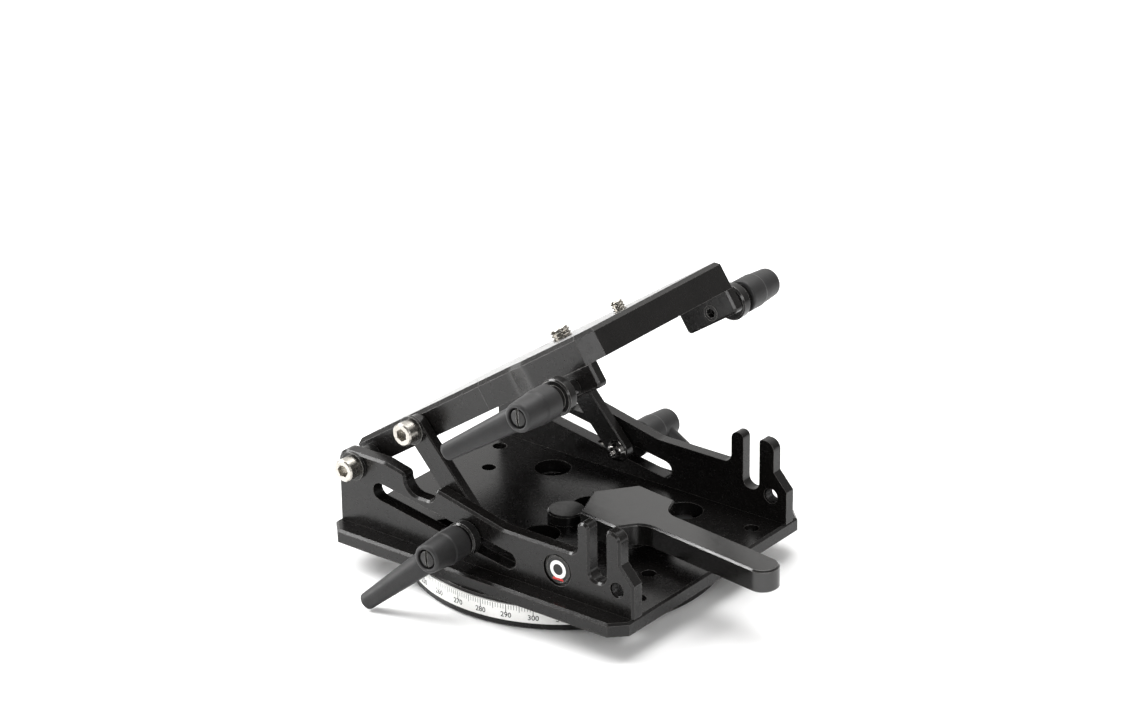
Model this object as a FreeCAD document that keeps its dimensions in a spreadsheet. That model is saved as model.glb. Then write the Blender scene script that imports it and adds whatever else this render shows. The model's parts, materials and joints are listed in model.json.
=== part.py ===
"""Rotary and tilting table: a graduated rotary base, a deck with two slotted cheeks and a hinged plate.

Frame: origin on the rotary axis, on the underside of the base disc, +Z up. The plate is hinged at -X
and rises towards +X, the near cheek is at -Y, and sizes are in millimetres.
"""
import FreeCAD, Part
import math
import os
import Sketcher
from FreeCAD import Placement, Rotation, Vector

doc = FreeCAD.newDocument("rotary_table")

# ---------------------------------------------------------------- driving dimensions
SIZES = {
    # rotary base
    "disc_radius": 68.5, "disc_height": 10.4, "band_low": 3.0, "band_depth": 1.0,
    "ring_radius": 67.5, "ring_height": 1.6, "glide_radius": 56.0, "glide_width": 8.0,
    "stud_radius": 5.0, "knob_radius": 8.2, "knob_height": 5.0,
    "tripod_radius": 4.76, "tripod_depth": 9.0, "bush_radius": 8.0, "deck_screw": 2.0,
    # deck and cheeks
    "deck_length": 158.0, "deck_width": 133.0, "deck_thick": 6.0, "deck_corner": 6.5, "edge_bevel": 1.0,
    "large_hole": 8.2, "small_hole": 3.2,
    "cheek_outer": 57.4, "cheek_thick": 6.0, "cheek_front": 79.0, "cheek_rear": 78.6,
    "cheek_top": 34.0, "cheek_low": 21.2, "prong_top": 36.5, "slot_radius": 4.0,
    "prong_gap_left": 56.3, "prong_gap_right": 64.7, "prong_right": 72.2,
    "thread_radius": 3.5, "badge_radius": 6.2, "badge_depth": 1.6,
    # hinge, tilt and links
    "hinge_forward": -69.5, "hinge_up": 27.9, "tilt_angle": 33.86,
    "crank_radius": 36.0, "crank_offset": 4.54, "link_length": 50.5, "link_angle": 48.1,
    "link_thick": 5.0, "link_width": 10.6, "link_inner": 46.0,
    # tilting plate, measured from the hinge axis
    "plate_top": 8.8, "plate_thick": 12.9, "plate_rear": 4.6, "plate_front": 147.9,
    "plate_wide": 49.8, "plate_narrow": 45.6, "plate_corner": 6.4, "plate_bevel": 1.8,
    "plate_split": 76.4, "tongue_length": 13.0, "tongue_thick": 5.0,
    "lug_rear": 113.0, "lug_front": 143.4, "lug_drop": 10.4, "lug_thick": 5.6,
    "lug_stud_along": 130.0, "lug_stud_down": 10.0, "lug_stud_radius": 3.4,
    # screws
    "cap_radius": 5.0, "cap_height": 6.0, "cap_socket": 2.5, "shank_radius": 3.0,
    "washer_radius": 6.3, "washer_thick": 1.6, "running_fit": 0.05, "spacer_radius": 5.6, "lug_screw": 1.25,
    "bolt_radius": 2.5, "button_radius": 4.75, "button_height": 2.75,
    "camera_large": 4.7, "camera_small": 3.1, "camera_rise": 4.5,
    # adjustable clamping levers
    "slot_pad_radius": 7.6, "lug_pad_radius": 8.0, "pad_height": 5.0, "insert_radius": 5.4,
    "hub_radius": 7.4, "hub_waist": 9.2, "hub_height": 21.0, "hub_recess": 4.4, "arm_reach": 41.5, "arm_rise": 12.5,
    "arm_root": 5.7, "arm_tip": 3.8, "slot_standoff": 1.2, "lug_standoff": 3.4,
    # brake lever
    "brake_forward": 33.0, "brake_under": 6.0, "brake_thick": 10.0, "brake_hex": 20.6,
    "brake_reach": 84.4, "brake_arm": 14.0, "brake_angle": 7.4, "brake_stud": 4.0, "brake_collar": 9.0,
}

sheet = doc.addObject("Spreadsheet::Sheet", "Sizes")
for row, (word, number) in enumerate(SIZES.items(), start=1):
    sheet.set("A%d" % row, word)
    sheet.set("B%d" % row, str(number))
    sheet.setAlias("B%d" % row, word)
doc.recompute()


def size(word):
    """The value of one cell of the sheet."""
    return float(sheet.get(word))


def bind(thing, prop, formula):
    """Bind a property to a formula whose words are cells of the sheet, written as {word}."""
    words = {word: "<<Sizes>>.%s" % word for word in SIZES}
    thing.setExpression(prop, formula.format(**words))


# ---------------------------------------------------------------- building helpers
PARTS = []


def keep(thing, name, placement=None):
    """Make an object one of the sub-parts, with its node name and its place."""
    thing.Label = name
    if placement is not None:
        thing.Placement = placement
    PARTS.append(thing)
    return thing


def new_body(name):
    return doc.addObject("PartDesign::Body", "Body_" + name)


def new_sketch(body, name, role="XY_Plane", lift=0.0):
    plane = [item for item in body.Origin.OriginFeatures if item.Role == role][0]
    made = body.newObject("Sketcher::SketchObject", name)
    made.AttachmentSupport = [(plane, "")]
    made.MapMode = "FlatFace"
    made.AttachmentOffset = Placement(Vector(0, 0, lift), Rotation())
    return made


def draw_outline(sketch, corners):
    """Draw a closed outline whose corners (x, y, radius) are rounded by tangent arcs."""
    count = len(corners)
    starts, ends, arcs = [], [], []
    for index, (x, y, radius) in enumerate(corners):
        here = Vector(x, y, 0)
        before = Vector(*corners[index - 1][:2], 0)
        after = Vector(*corners[(index + 1) % count][:2], 0)
        to_before = (before - here).normalize()
        to_after = (after - here).normalize()
        half = to_before.getAngle(to_after) / 2
        reach = radius / math.tan(half) if radius else 0.0
        first = here + to_before * reach
        last = here + to_after * reach
        starts.append(first)
        ends.append(last)
        if radius:
            centre = here + (to_before + to_after).normalize() * (radius / math.sin(half))
            middle = centre + (here - centre).normalize() * radius
            arcs.append(Part.Arc(first, middle, last))
        else:
            arcs.append(None)
    for index in range(count):
        if arcs[index] is not None:
            sketch.addGeometry(arcs[index], False)
        following = (index + 1) % count
        if (starts[following] - ends[index]).Length > 1e-6:
            sketch.addGeometry(Part.LineSegment(ends[index], starts[following]), False)


def draw_circle(sketch, x, y, formula, radius):
    """Draw a circle whose radius follows the sheet."""
    index = sketch.addGeometry(Part.Circle(Vector(x, y, 0), Vector(0, 0, 1), radius), False)
    rule = sketch.addConstraint(Sketcher.Constraint("Radius", index, radius))
    bind(sketch, "Constraints[%d]" % rule, formula)


def draw_capsule(sketch, first, last, radius):
    """Draw a slot with round ends between two centres."""
    start, end = Vector(*first, 0), Vector(*last, 0)
    along = (end - start).normalize() * radius
    across = Vector(-along.y, along.x, 0)
    sketch.addGeometry(Part.LineSegment(start + across, end + across), False)
    sketch.addGeometry(Part.Arc(end + across, end + along, end - across), False)
    sketch.addGeometry(Part.LineSegment(end - across, start - across), False)
    sketch.addGeometry(Part.Arc(start - across, start - along, start + across), False)


def pad(body, sketch, formula, name, backwards=False):
    made = body.newObject("PartDesign::Pad", name)
    made.Profile = sketch
    made.Reversed = backwards
    bind(made, "Length", formula)
    doc.recompute()
    return made


def pocket(body, sketch, name, formula=None, backwards=False):
    """Cut a pocket, right through unless a depth is given, and make sure that it cuts."""
    before = body.Shape.Volume
    made = body.newObject("PartDesign::Pocket", name)
    made.Profile = sketch
    made.Reversed = backwards
    if formula is None:
        made.Type = 1
    else:
        bind(made, "Length", formula)
    doc.recompute()
    if body.Shape.Volume > before - 1e-3:
        raise RuntimeError("%s cuts nothing" % name)
    return made


def bevel(body, name, formula, wanted, kind="PartDesign::Chamfer"):
    """Chamfer or round the edges of the body that a test picks by their middle point and length."""
    base = body.Tip
    names = []
    for index, edge in enumerate(base.Shape.Edges, start=1):
        middle = edge.valueAt((edge.FirstParameter + edge.LastParameter) / 2)
        if wanted(middle, edge):
            names.append("Edge%d" % index)
    if not names:
        raise RuntimeError("%s finds no edges" % name)
    made = body.newObject(kind, name)
    made.Base = (base, names)
    bind(made, "Size" if kind.endswith("Chamfer") else "Radius", formula)
    doc.recompute()
    return made


def turned(body, name, points, role="XZ_Plane"):
    """Revolve a profile of (radius, height, corner) points about the body's Z axis."""
    profile = new_sketch(body, name + "_profile", role)
    draw_outline(profile, points)
    made = body.newObject("PartDesign::Revolution", name)
    made.Profile = profile
    made.ReferenceAxis = (profile, ["V_Axis"])
    made.Angle = 360
    doc.recompute()
    return made


def cylinder(name, radius, height, x=0.0, y=0.0, z=0.0):
    made = doc.addObject("Part::Cylinder", name)
    bind(made, "Radius", radius)
    bind(made, "Height", height)
    made.Placement = Placement(Vector(x, y, z), Rotation())
    return made


def cut(name, base, tool):
    made = doc.addObject("Part::Cut", name)
    made.Base = base
    made.Tool = tool
    return made


def group(name, pieces):
    """Several equal, separate solids in one sub-part."""
    made = doc.addObject("Part::Compound", name)
    made.Links = pieces
    return made


# ---------------------------------------------------------------- places
DECK_UNDER = size("disc_height") + size("ring_height")
DECK_TOP = DECK_UNDER + size("deck_thick")
TILT = size("tilt_angle")
HINGE = Vector(size("hinge_forward"), 0, DECK_TOP + size("hinge_up"))
CHEEK_INNER = size("cheek_outer") - size("cheek_thick")
PLATE_UNDER = size("plate_top") - size("plate_thick")
UPRIGHT = Rotation(Vector(1, 0, 0), 90)
OUTWARD = {"near": UPRIGHT, "far": Rotation(Vector(1, 0, 0), -90)}
LUG_MIDDLE = size("plate_wide") - size("lug_thick") / 2
LEVER_BASE = size("cheek_outer") + 0.15
THREAD_IN_HUB, INSERT_IN_HUB, WEB_LOW, WEB_HIGH, SPRING_HEIGHT = 8.4, 10.6, 11.0, 12.5, 2.4
CAP_SHANK = 1.8
ARM_START = 12.0
SLOT_LEVER_SPIN = {"near": -138.0, "far": -43.0}
SCREW_SLOT_SPIN = 4.0
SIDE = {"near": -1, "far": 1}
tilted = Placement(HINGE, Rotation(Vector(0, 1, 0), -TILT))


def polar(radius, degrees):
    angle = math.radians(degrees)
    return Vector(radius * math.cos(angle), 0, radius * math.sin(angle))


LINK_PIVOT_LOCAL = polar(size("crank_radius"), size("crank_offset"))
LINK_PIVOT = HINGE + polar(size("crank_radius"), TILT + size("crank_offset"))
SLOT_BOLT = LINK_PIVOT + polar(size("link_length"), -size("link_angle"))
LUG_STUD_LOCAL = Vector(size("lug_stud_along"), 0, -size("lug_stud_down"))
LUG_STUD = tilted.multVec(LUG_STUD_LOCAL)


def tilted_at(point, across, direction=Rotation()):
    """A place given in the plate's own directions."""
    return tilted.multiply(Placement(Vector(point.x, across, point.z), direction))


def out_of(side, point, across, spin=0.0):
    """A place on one side whose local Z points outwards and whose local X points along an angle."""
    turn = OUTWARD[side]
    swing = Rotation(Vector(0, 1, 0), -spin)
    return Placement(Vector(point.x, SIDE[side] * across, point.z), swing.multiply(turn))


# ---------------------------------------------------------------- rotary base
def rotary_disc():
    body = new_body("rotary_disc")
    outer, low = size("disc_radius"), size("band_low")
    inset, high = outer - size("band_depth"), size("disc_height")
    glide_out = size("glide_radius")
    glide_in = glide_out - size("glide_width")
    groove = high - 1.2
    dish, dish_roof = 50.0, 3.4
    hub_bore = size("bush_radius")
    points = [
        (hub_bore, 0.0, 0.0), (24.0, 0.0, 0.0), (24.0, dish_roof, 2.0), (dish, dish_roof, 2.0),
        (dish, 0.0, 0.0), (outer - 0.8, 0.0, 0.0), (outer, 0.8, 0.0), (outer, low, 0.0),
        (inset, low, 0.0), (inset, high, 0.0), (glide_out, high, 0.0), (glide_out, groove, 0.0),
        (glide_in, groove, 0.0), (glide_in, high, 0.0), (hub_bore, high, 0.0),
    ]
    turned(body, "disc_turning", points)
    keep(body, "rotary_disc")


def ring(name, inner, outer, low, high):
    body = new_body(name)
    turned(body, name + "_turning", [
        (inner, low, 0.0), (outer, low, 0.0), (outer, high, 0.0), (inner, high, 0.0)])
    keep(body, name)


def centre_pieces():
    """The steel bush with the tripod thread, the stud above it and the round nut on the deck."""
    bush = cylinder("bush_round", "{bush_radius}", "{disc_height}")
    bore = cylinder("bush_bore", "{tripod_radius}", "{tripod_depth}")
    keep(cut("bush_cut", bush, bore), "tripod_bush")
    stud = cylinder("stud_round", "{stud_radius}", "{ring_height} + {deck_thick} + 0.1",
                    z=size("disc_height"))
    keep(stud, "centre_stud")
    nut = new_body("pivot_nut")
    radius, high = size("knob_radius"), size("knob_height")
    turned(nut, "nut_turning", [
        (0.0, 0.1, 0.0), (radius, 0.1, 0.0), (radius, high - 0.7, 0.0),
        (radius - 0.7, high, 0.0), (0.0, high, 0.0)])
    keep(nut, "pivot_nut", Placement(Vector(0, 0, DECK_TOP), Rotation()))


# ---------------------------------------------------------------- deck
LARGE_HOLES = [(x, y) for x in (-36.0, 36.0) for y in (-36.5, 36.5)] + [(0.0, -17.5), (0.0, 17.5)]
SMALL_HOLES = [(x, y) for x in (-59.0, 59.0) for y in (-20.0, 20.0)]
SMALL_HOLES += [(x, y) for x in (-69.0, 69.0) for y in (-40.0, 40.0)]
CHEEK_SCREWS = (-66.0, -22.0, 22.0, 66.0)


def base_plate():
    body = new_body("base_plate")
    half_x, half_y, corner = size("deck_length") / 2, size("deck_width") / 2, size("deck_corner")
    outline = new_sketch(body, "deck_outline")
    draw_outline(outline, [
        (-half_x + corner, -half_y, 0.0), (half_x - corner, -half_y, 0.0), (half_x, -half_y + corner, 0.0),
        (half_x, half_y - corner, 0.0), (half_x - corner, half_y, 0.0), (-half_x + corner, half_y, 0.0),
        (-half_x, half_y - corner, 0.0), (-half_x, -half_y + corner, 0.0)])
    pad(body, outline, "{deck_thick}", "deck_slab")
    holes = new_sketch(body, "deck_holes")
    for x, y in LARGE_HOLES:
        draw_circle(holes, x, y, "{large_hole}", size("large_hole"))
    for x, y in SMALL_HOLES:
        draw_circle(holes, x, y, "{small_hole}", size("small_hole"))
    draw_circle(holes, 0, 0, "{stud_radius} + {running_fit}", size("stud_radius") + size("running_fit"))
    draw_circle(holes, size("brake_forward"), 0, "{brake_stud} + {running_fit}",
                size("brake_stud") + size("running_fit"))
    pocket(body, holes, "deck_drilling", backwards=True)
    sinks = new_sketch(body, "deck_screw_holes")
    for x in CHEEK_SCREWS:
        for side in (-1, 1):
            middle = side * (size("cheek_outer") - size("cheek_thick") / 2)
            draw_circle(sinks, x, middle, "{deck_screw}", size("deck_screw"))
    pocket(body, sinks, "deck_screw_drilling", backwards=True)
    top = size("deck_thick")
    bevel(body, "deck_bevel", "{edge_bevel}", lambda middle, edge: abs(middle.z - top) < 1e-3
          and edge.Curve.TypeId == "Part::GeomLine")
    keep(body, "base_plate", Placement(Vector(0, 0, DECK_UNDER), Rotation()))


# ---------------------------------------------------------------- cheeks
NOTCH_RADIUS = 8.0
SLOT_MIDDLE, SLOT_HEIGHT, SLOT_SLOPE = -20.0, 13.5, -0.165
SLOT_ENDS = (-55.4, 14.2)
BADGE_PLACE = (39.9, 11.2)
THREAD_PLACE = (70.8, 11.3)


def slot_height(x):
    return SLOT_HEIGHT + SLOT_SLOPE * (x - SLOT_MIDDLE)


def cheek(side):
    """One cheek: local X is forwards, local Y is up and the slab grows outwards from the plane z = 0."""
    name = "cheek_" + side
    body = new_body(name)
    outwards = -SIDE[side]
    far = side == "far"
    thick = size("cheek_thick")
    rear, front, top, low = -size("cheek_rear"), size("cheek_front"), size("cheek_top"), size("cheek_low")
    crown = size("prong_top")
    left, right, edge_right = size("prong_gap_left"), size("prong_gap_right"), size("prong_right")
    gap_floor = low - 9.5
    notch_x = size("hinge_forward") + LINK_PIVOT_LOCAL.x
    notch_floor = size("hinge_up") + LINK_PIVOT_LOCAL.z - NOTCH_RADIUS
    prong = 6.3
    outline = new_sketch(body, name + "_outline")
    draw_outline(outline, [
        (rear, 0.0, 0.0), (front, 0.0, 0.0), (front, 15.0, 0.0), (edge_right, 22.6, 0.0),
        (edge_right, crown, 4.4), (right, crown, 1.6), (right, gap_floor, 4.0), (left, gap_floor, 4.0),
        (left, crown, 2.6), (left - prong, crown, 3.4),
        (left - prong, low, 4.0), (10.8, low, 8.0), (notch_x + NOTCH_RADIUS + 0.4, 29.2, 1.6),
        (notch_x + NOTCH_RADIUS, notch_floor, 4.6), (notch_x - NOTCH_RADIUS, notch_floor, 7.2),
        (notch_x - NOTCH_RADIUS, 31.6, 2.0), (-52.6, top, 6.0), (rear, top, 6.0)])
    pad(body, outline, "{cheek_thick}", name + "_slab", backwards=far)
    openings = new_sketch(body, name + "_openings")
    draw_capsule(openings, *[(x, slot_height(x)) for x in SLOT_ENDS], size("slot_radius"))
    draw_circle(openings, *THREAD_PLACE, "{thread_radius}", size("thread_radius"))
    draw_circle(openings, size("hinge_forward"), size("hinge_up"), "{shank_radius} + {running_fit}",
                size("shank_radius") + size("running_fit"))
    pocket(body, openings, name + "_cutting", backwards=not far)
    taps = new_sketch(body, name + "_taps", "XZ_Plane")
    for x in CHEEK_SCREWS:
        draw_circle(taps, x, outwards * thick / 2, "{deck_screw}", size("deck_screw"))
    pocket(body, taps, name + "_tapping", "10 mm")

    def on_rim(middle, edge):
        in_slot = abs(middle.y - slot_height(middle.x)) < 6 and middle.x < 20
        drilled = edge.Curve.TypeId == "Part::GeomCircle" and edge.isClosed()
        return abs(middle.z - outwards * thick) < 1e-3 and middle.y > 0.01 and not in_slot and not drilled

    bevel(body, name + "_bevel", "{edge_bevel}", on_rim)
    if side == "near":
        seat = new_sketch(body, "badge_seat", lift=thick)
        draw_circle(seat, *BADGE_PLACE, "{badge_radius} + 1", size("badge_radius") + 1)
        pocket(body, seat, "badge_pocket", "{badge_depth}")
    keep(body, name, Placement(Vector(0, SIDE[side] * CHEEK_INNER, DECK_TOP), UPRIGHT))


def badge():
    """A plain round insert let into the near cheek."""
    body = new_body("badge")
    radius, high = size("badge_radius"), size("badge_depth") - 0.4
    turned(body, "badge_disc", [(0.0, 0.0, 0.0), (radius, 0.0, 0.0), (radius, high, 0.0), (0.0, high, 0.0)])
    floor = size("cheek_outer") - size("badge_depth")
    keep(body, "badge", Placement(Vector(BADGE_PLACE[0], -floor, DECK_TOP + BADGE_PLACE[1]), UPRIGHT))


def cheek_screws():
    """Screws that come up through the deck into the cheeks."""
    screws = []
    for x in CHEEK_SCREWS:
        for side in (-1, 1):
            middle = side * (size("cheek_outer") - size("cheek_thick") / 2)
            screws.append(cylinder("cheek_screw", "{deck_screw}", "{deck_thick} + 9", x, middle, DECK_UNDER))
    keep(group("cheek_screw_group", screws), "cheek_screws")


# ---------------------------------------------------------------- screws and rings
def hexagon_cut(body, name, lift, across_flats, depth, backwards=False):
    """A hexagon socket, cut downwards unless it is turned round."""
    socket = new_sketch(body, name + "_hexagon", lift=lift)
    corner = across_flats / 2 / math.cos(math.radians(30))
    turns = [math.radians(60 * k) for k in range(6)]
    draw_outline(socket, [(corner * math.cos(turn), corner * math.sin(turn), 0.0) for turn in turns])
    pocket(body, socket, name + "_socket", "%s mm" % depth, backwards=backwards)


def screw_slot(body, name, lift, half_width, radius, depth, backwards=False):
    """A screwdriver slot across a round end."""
    groove = new_sketch(body, name + "_groove", lift=lift)
    long = radius + 1
    draw_outline(groove, [(-half_width, -long, 0.0), (half_width, -long, 0.0), (half_width, long, 0.0),
                          (-half_width, long, 0.0)])
    pocket(body, groove, name + "_slot", "%s mm" % depth, backwards=backwards)


def socket_screw(name, shank_length):
    """A cap screw: the head stands on z = 0 and the shank points down."""
    body = new_body(name)
    radius, high, shank = size("cap_radius"), size("cap_height"), size("shank_radius")
    turned(body, name + "_turning", [
        (0.0, -shank_length, 0.0), (shank - 0.5, -shank_length, 0.0), (shank, -shank_length + 0.5, 0.0),
        (shank, 0.0, 0.0), (radius, 0.0, 0.0), (radius, high - 0.6, 0.0), (radius - 0.6, high, 0.0),
        (0.0, high, 0.0)])
    hexagon_cut(body, name, high, 2 * size("cap_socket"), high / 2)
    return body


def ring_of(name, outer, inner, height, place):
    """A plain ring or washer."""
    rim = cylinder(name + "_rim", outer, height)
    bore = cylinder(name + "_bore", inner, height)
    return keep(cut(name + "_cut", rim, bore), name, place)


def hinge_pieces(side):
    """The hinge screw, its washer and the spacer between the cheek and the plate."""
    seat = size("cheek_outer") + size("washer_thick")
    reach = seat - (size("plate_narrow") - BORE_DEPTH + 2)
    keep(socket_screw("hinge_screw_" + side, reach), "hinge_screw_" + side, out_of(side, HINGE, seat))
    ring_of("hinge_washer_" + side, "{washer_radius}", "{shank_radius}", "{washer_thick}",
            out_of(side, HINGE, size("cheek_outer")))
    ring_of("hinge_spacer_" + side, "{spacer_radius}", "{shank_radius}",
            "{cheek_outer} - {cheek_thick} - {plate_narrow} - 0.15",
            out_of(side, HINGE, size("plate_narrow") + 0.15))


# ---------------------------------------------------------------- tilting plate
BORE_DEPTH = 16.0
PIN_HOLE = (56.0, 22.0)
SPLICE_SCREWS = [(70.0, y) for y in (-27.0, -9.0, 9.0, 27.0)]
CAMERA_LARGE_AT, CAMERA_SMALL_AT = 89.0, 125.5
LUG_SCREWS = (119.0, 137.5)
TONGUE_HALF = 36.0


def mirrored(edge):
    """Complete an outline given along its near edge with the same points on the far side."""
    return edge + [(x, -y, radius) for x, y, radius in reversed(edge)]


def plate_rear():
    body = new_body("tilt_plate_rear")
    narrow, split, rear = size("plate_narrow"), size("plate_split"), -size("plate_rear")
    outline = new_sketch(body, "rear_outline", lift=PLATE_UNDER)
    draw_outline(outline, mirrored([(rear, -narrow, 0.0), (split, -narrow, 0.0)]))
    pad(body, outline, "{plate_thick}", "rear_slab")
    seat = new_sketch(body, "rear_tongue_seat", lift=PLATE_UNDER)
    back = split - size("tongue_length")
    draw_outline(seat, mirrored([(back, -TONGUE_HALF, 3.0), (split + 1, -TONGUE_HALF, 0.0)]))
    pocket(body, seat, "rear_seat", "{tongue_thick} + 0.1", backwards=True)
    for side, sign in SIDE.items():
        pivots = new_sketch(body, "rear_pivots_" + side, "XZ_Plane", lift=-sign * narrow)
        draw_circle(pivots, 0, 0, "{shank_radius} + {running_fit}",
                    size("shank_radius") + size("running_fit"))
        draw_circle(pivots, LINK_PIVOT_LOCAL.x, LINK_PIVOT_LOCAL.z, "{shank_radius}", size("shank_radius"))
        pocket(body, pivots, "rear_pivot_bores_" + side, "%s mm" % BORE_DEPTH, backwards=side == "far")
    pin = new_sketch(body, "rear_pin_hole", lift=PLATE_UNDER)
    draw_circle(pin, *PIN_HOLE, "{bolt_radius}", size("bolt_radius"))
    pocket(body, pin, "rear_pin_drilling", backwards=True)
    screws = new_sketch(body, "rear_screw_holes", lift=PLATE_UNDER)
    for x, y in SPLICE_SCREWS:
        draw_circle(screws, x, y, "{bolt_radius}", size("bolt_radius"))
    pocket(body, screws, "rear_screw_drilling", "{plate_thick} - 2", backwards=True)
    plate_bevel(body, "rear_bevel")
    keep(body, "tilt_plate_rear", tilted)


def plate_bevel(body, name):
    """The bevel round the plate's top, which stops at the joint between its halves."""
    top, split = size("plate_top"), size("plate_split")
    bevel(body, name, "{plate_bevel}", lambda middle, edge: abs(middle.z - top) < 1e-3
          and abs(middle.x - split) > 0.01 and not edge.isClosed())


def plate_front():
    body = new_body("tilt_plate_front")
    split, front, corner = size("plate_split"), size("plate_front"), size("plate_corner")
    narrow, wide = size("plate_narrow"), size("plate_wide")
    outline = new_sketch(body, "front_outline", lift=PLATE_UNDER)
    draw_outline(outline, mirrored([
        (split, -narrow, 0.0), (96.0, -narrow, 12.0), (109.0, -wide, 12.0), (front - corner, -wide, 0.0),
        (front, -wide + corner, 0.0)]))
    pad(body, outline, "{plate_thick}", "front_slab")
    tongue = new_sketch(body, "tongue_outline", lift=PLATE_UNDER)
    back, half = split - size("tongue_length") + 0.1, TONGUE_HALF - 0.1
    draw_outline(tongue, mirrored([(back, -half, 3.0), (split + 2, -half, 0.0)]))
    pad(body, tongue, "{tongue_thick}", "tongue")
    holes = new_sketch(body, "front_screw_holes", lift=PLATE_UNDER)
    draw_circle(holes, CAMERA_LARGE_AT, 0, "{camera_large} + 0.3", size("camera_large") + 0.3)
    draw_circle(holes, CAMERA_SMALL_AT, 0, "{camera_small} + 0.3", size("camera_small") + 0.3)
    for x, y in SPLICE_SCREWS:
        draw_circle(holes, x, y, "{bolt_radius}", size("bolt_radius"))
    pocket(body, holes, "front_drilling", backwards=True)
    lug_holes = new_sketch(body, "front_lug_screw_holes", lift=PLATE_UNDER)
    for x in LUG_SCREWS:
        for sign in SIDE.values():
            draw_circle(lug_holes, x, sign * LUG_MIDDLE, "{lug_screw}", size("lug_screw"))
    pocket(body, lug_holes, "front_lug_drilling", "{plate_thick} - 3", backwards=True)
    seats = new_sketch(body, "front_head_seats", lift=PLATE_UNDER)
    draw_circle(seats, CAMERA_LARGE_AT, 0, "{camera_large} + 4", size("camera_large") + 4)
    draw_circle(seats, CAMERA_SMALL_AT, 0, "{camera_small} + 4", size("camera_small") + 4)
    pocket(body, seats, "front_head_pockets", "5 mm", backwards=True)
    grooves = new_sketch(body, "front_lug_seats", lift=PLATE_UNDER)
    rear, stop, half_tongue = size("lug_rear") + 4.0, size("lug_front") - 4.0, 1.6
    for sign in SIDE.values():
        middle = sign * LUG_MIDDLE
        draw_outline(grooves, [(rear, middle - half_tongue, 0.0), (stop, middle - half_tongue, 0.0),
                               (stop, middle + half_tongue, 0.0), (rear, middle + half_tongue, 0.0)])
    pocket(body, grooves, "front_lug_grooves", "4 mm", backwards=True)
    plate_bevel(body, "front_bevel")
    keep(body, "tilt_plate_front", tilted)


def lug(side):
    """A lug under a front corner of the plate, with a tongue let into the plate."""
    name = "lug_" + side
    body = new_body(name)
    sign, far = SIDE[side], side == "far"
    rear, front = size("lug_rear"), size("lug_front")
    low = PLATE_UNDER - size("lug_drop")
    inner = size("plate_wide") - size("lug_thick")
    outline = new_sketch(body, name + "_outline", "XZ_Plane", lift=-sign * inner)
    draw_outline(outline, [(rear, low, 2.0), (front, low, 2.0), (front, PLATE_UNDER, 0.0),
                           (rear, PLATE_UNDER, 0.0)])
    pad(body, outline, "{lug_thick}", name + "_slab", backwards=far)
    tongue = new_sketch(body, name + "_tongue_outline", "XZ_Plane", lift=-sign * (LUG_MIDDLE - 1.5))
    draw_outline(tongue, [(rear + 4.1, PLATE_UNDER - 1, 0.0), (front - 4.1, PLATE_UNDER - 1, 0.0),
                          (front - 4.1, PLATE_UNDER + 3.9, 0.0), (rear + 4.1, PLATE_UNDER + 3.9, 0.0)])
    pad(body, tongue, "3 mm", name + "_tongue", backwards=far)
    bevel(body, name + "_bevel", "0.9 mm", lambda middle, edge: abs(middle.x - front) < 1e-3
          and edge.Curve.TypeId == "Part::GeomLine" and abs(edge.tangentAt(edge.FirstParameter).z) > 0.9)
    bore = new_sketch(body, name + "_bore_outline", "XZ_Plane", lift=-sign * inner)
    draw_circle(bore, LUG_STUD_LOCAL.x, LUG_STUD_LOCAL.z, "{lug_stud_radius}", size("lug_stud_radius"))
    pocket(body, bore, name + "_bore", backwards=not far)
    keep(body, name, tilted)


def plate_screws():
    """The screws that hold the two halves of the plate together, and those that hold its lugs."""
    splice = [cylinder("splice_screw", "{bolt_radius}", "{plate_thick} - 2.2", x, y, PLATE_UNDER)
              for x, y in SPLICE_SCREWS]
    keep(group("splice_screw_group", splice), "splice_screws", tilted)
    lug_screws = [cylinder("lug_screw_pin", "{lug_screw}", "{plate_thick} - 7.2", x, sign * LUG_MIDDLE,
                           PLATE_UNDER + 4.0) for sign in SIDE.values() for x in LUG_SCREWS]
    keep(group("lug_screw_group", lug_screws), "lug_screws", tilted)


def camera_screw(name, along, radius_word):
    """A captive screw with a coin slot below, whose slotted thread stands up out of the plate."""
    body = new_body(name)
    radius = size(radius_word)
    head, low, high = radius + 3.4, 0.3, 4.7
    tip = size("plate_thick") + size("camera_rise")
    turned(body, name + "_turning", [
        (0.0, low, 0.0), (head, low, 0.0), (head, high, 0.0), (radius - 0.6, high, 0.0),
        (radius - 0.6, size("plate_thick") + 0.3, 0.0), (radius, size("plate_thick") + 0.3, 0.0),
        (radius, tip - 0.7, 0.0), (radius - 0.7, tip, 0.0), (0.0, tip, 0.0)])
    screw_slot(body, name, tip, 0.7, radius, 2)
    screw_slot(body, name + "_coin", low, 0.8, head, 1.6, backwards=True)
    keep(body, name, tilted_at(Vector(along, 0, PLATE_UNDER), 0.0))


def lug_stud(side):
    """The stud that drops into the cheek's open slot; its socketed end is flush inside the lug."""
    name = "lug_stud_" + side
    body = new_body(name)
    radius, thread = size("lug_stud_radius"), size("bolt_radius")
    inner = size("plate_wide") - size("lug_thick")
    neck = LEVER_BASE + size("lug_standoff") + 0.2
    tip = LEVER_BASE + size("pad_height") + size("lug_standoff") + THREAD_IN_HUB
    turned(body, name + "_turning", [
        (0.0, inner, 0.0), (radius, inner, 0.0), (radius, neck, 0.0), (thread, neck, 0.0),
        (thread, tip, 0.0), (0.0, tip, 0.0)])
    hexagon_cut(body, name, inner, 4, 3, backwards=True)
    keep(body, name, tilted_at(LUG_STUD_LOCAL, 0.0, OUTWARD[side]))


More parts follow.
